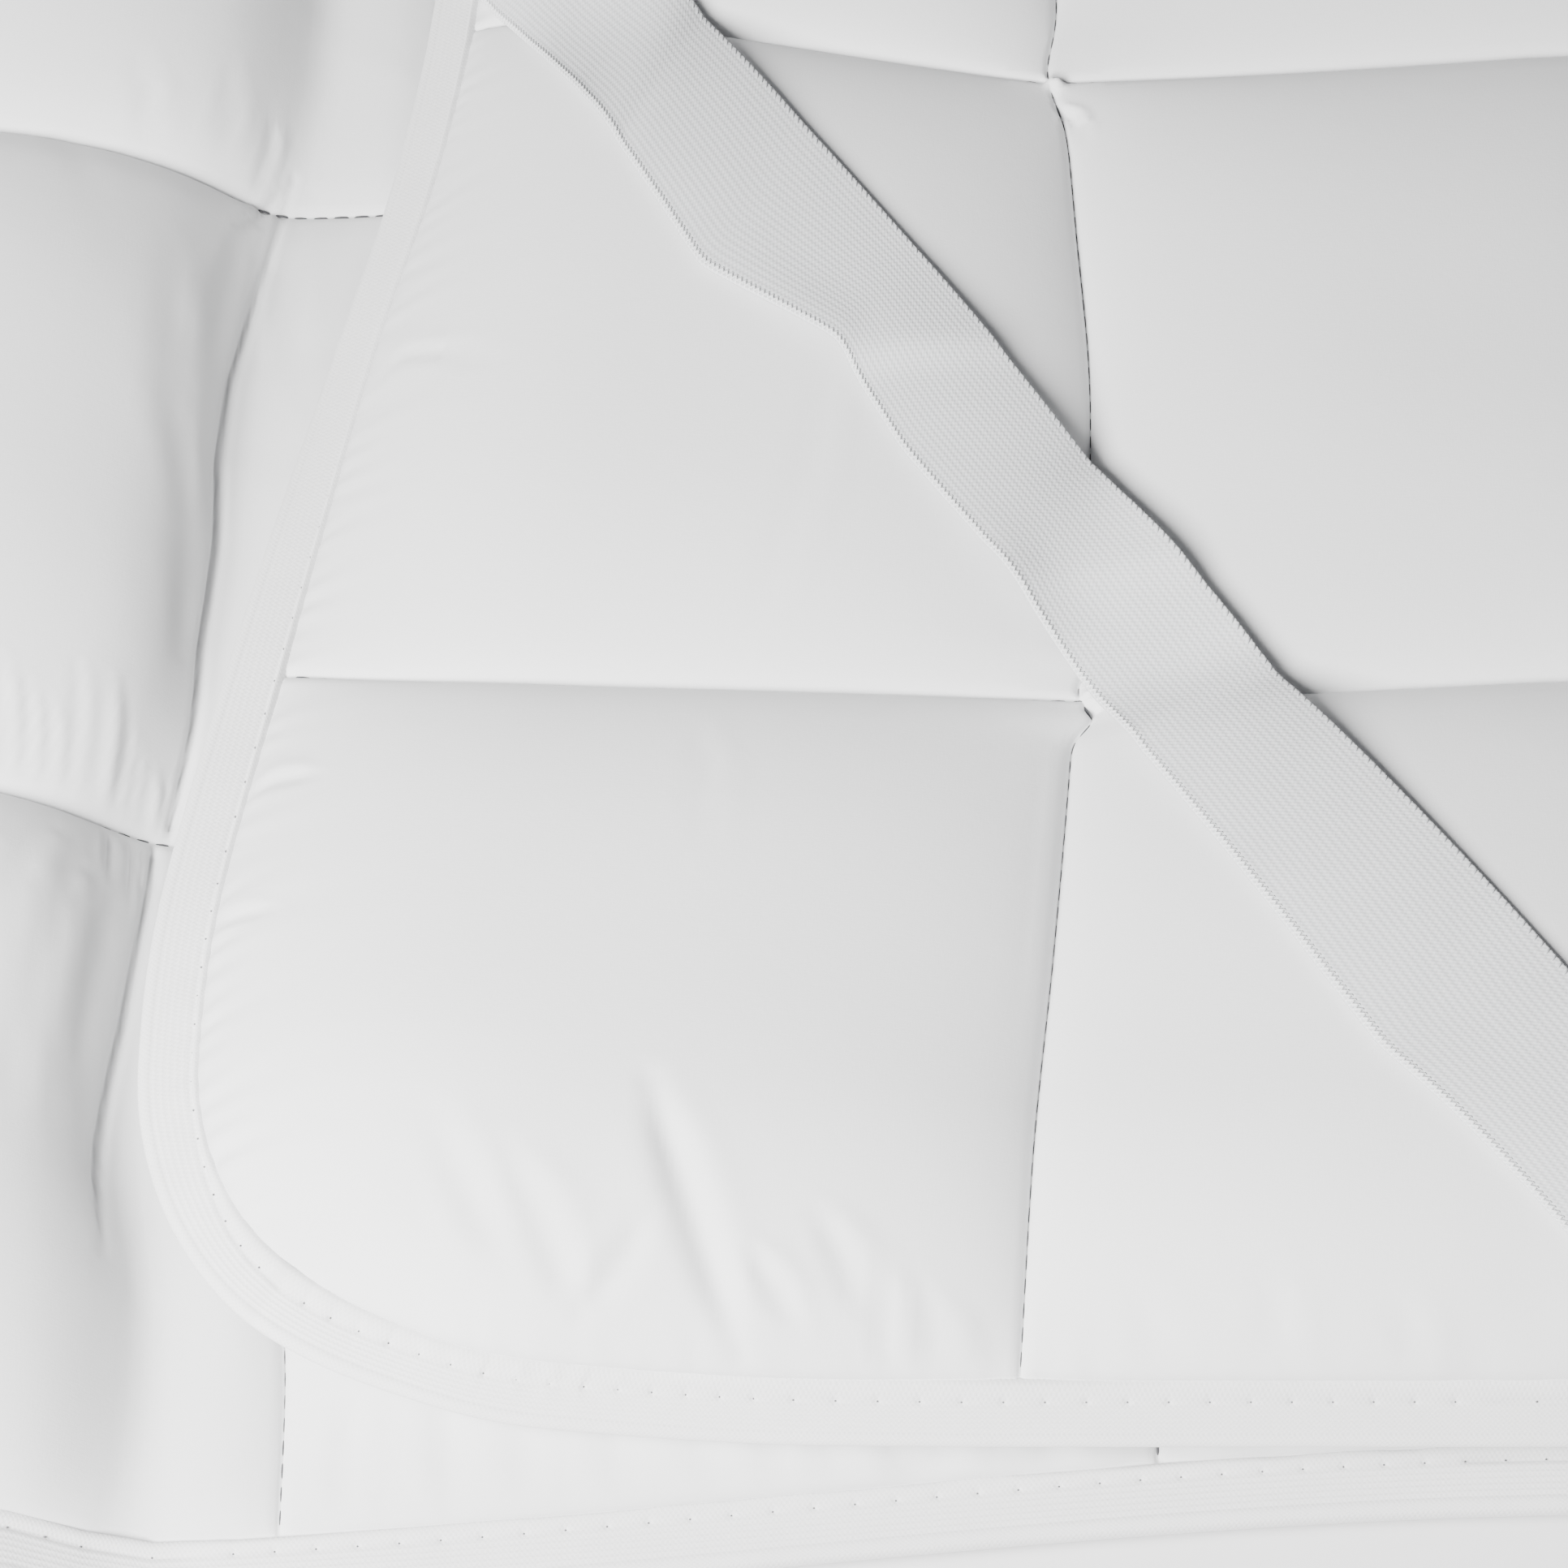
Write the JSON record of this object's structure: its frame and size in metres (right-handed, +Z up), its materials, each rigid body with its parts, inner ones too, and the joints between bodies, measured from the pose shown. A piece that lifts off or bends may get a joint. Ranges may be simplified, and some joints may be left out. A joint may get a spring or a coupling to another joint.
{
  "type": "folded quilted mattress topper",
  "caption": "Box-quilted mattress topper folded over on itself, with taped edges and elastic straps across its corners.",
  "frame": {"origin": "middle of the footprint, on the surface that the topper lies on", "axes": "+X along the topper's length from its flat free end towards the fold, +Y across its width, +Z up"},
  "size_m": [1.2444, 0.9268, 0.0735],
  "materials": {
    "quilted_cloth": "smooth white microfibre with a soft sheen",
    "edge_tape": "white ribbed binding tape, matt",
    "elastic": "cool white woven elastic with lengthwise ribs"
  },
  "bodies": {
    "root": {"pad": "quilted_cloth", "binding": "edge_tape", "strap_upper_front": "elastic", "strap_upper_rear": "elastic", "strap_lower_front": "elastic", "strap_lower_rear": "elastic"}
  },
  "joints": []
}
